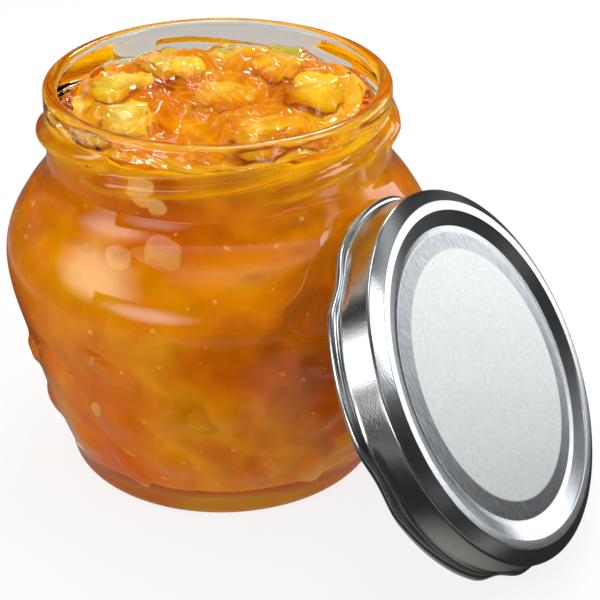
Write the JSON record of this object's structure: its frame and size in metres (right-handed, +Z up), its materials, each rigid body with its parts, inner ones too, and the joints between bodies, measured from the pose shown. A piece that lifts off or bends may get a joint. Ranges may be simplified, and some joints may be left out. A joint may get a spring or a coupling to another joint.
{
  "type": "jam pot",
  "caption": "Open round-bellied glass jar of fruit jam, with its metal twist-off lid leaning beside it.",
  "frame": {"origin": "on the jar's axis, in the plane of the surface that the jar and the lid's edge stand on", "axes": "+Z up along the jar's axis out of its mouth; the lid leans on the jar from the +X side and faces +X and up; +Y completes the right-handed frame"},
  "size_m": [0.1426, 0.1055, 0.093],
  "materials": {
    "jar_glass": "clear pressed flint glass",
    "jam_gel": "wet translucent orange-yellow jelly",
    "pale_fruit": "wet pale yellow fruit flesh",
    "deep_fruit": "wet deep orange fruit flesh",
    "lid_tinplate": "bright tinned steel with a satin centre panel",
    "seal_compound": "off-white sealing compound"
  },
  "bodies": {
    "jar": {"glass_jar": "jar_glass", "jam": "jam_gel", "fruit_piece_1": "pale_fruit", "fruit_piece_2": "pale_fruit", "fruit_piece_3": "pale_fruit", "fruit_piece_4": "pale_fruit", "fruit_piece_5": "pale_fruit", "fruit_piece_6": "pale_fruit", "fruit_piece_7": "pale_fruit", "fruit_piece_8": "deep_fruit", "fruit_piece_9": "deep_fruit", "fruit_piece_10": "deep_fruit", "fruit_piece_11": "deep_fruit", "fruit_piece_12": "deep_fruit", "fruit_piece_13": "deep_fruit", "fruit_piece_14": "deep_fruit", "fruit_piece_15": "deep_fruit", "fruit_piece_16": "deep_fruit"},
    "lid": {"lid_shell": "lid_tinplate", "sealing_ring": "seal_compound"}
  },
  "joints": [
    {"name": "lid_lift", "type": "slide", "parent": "jar", "child": "lid", "axis": [0.848, 0, 0.5299], "range_m": [0, 0.09]}
  ]
}
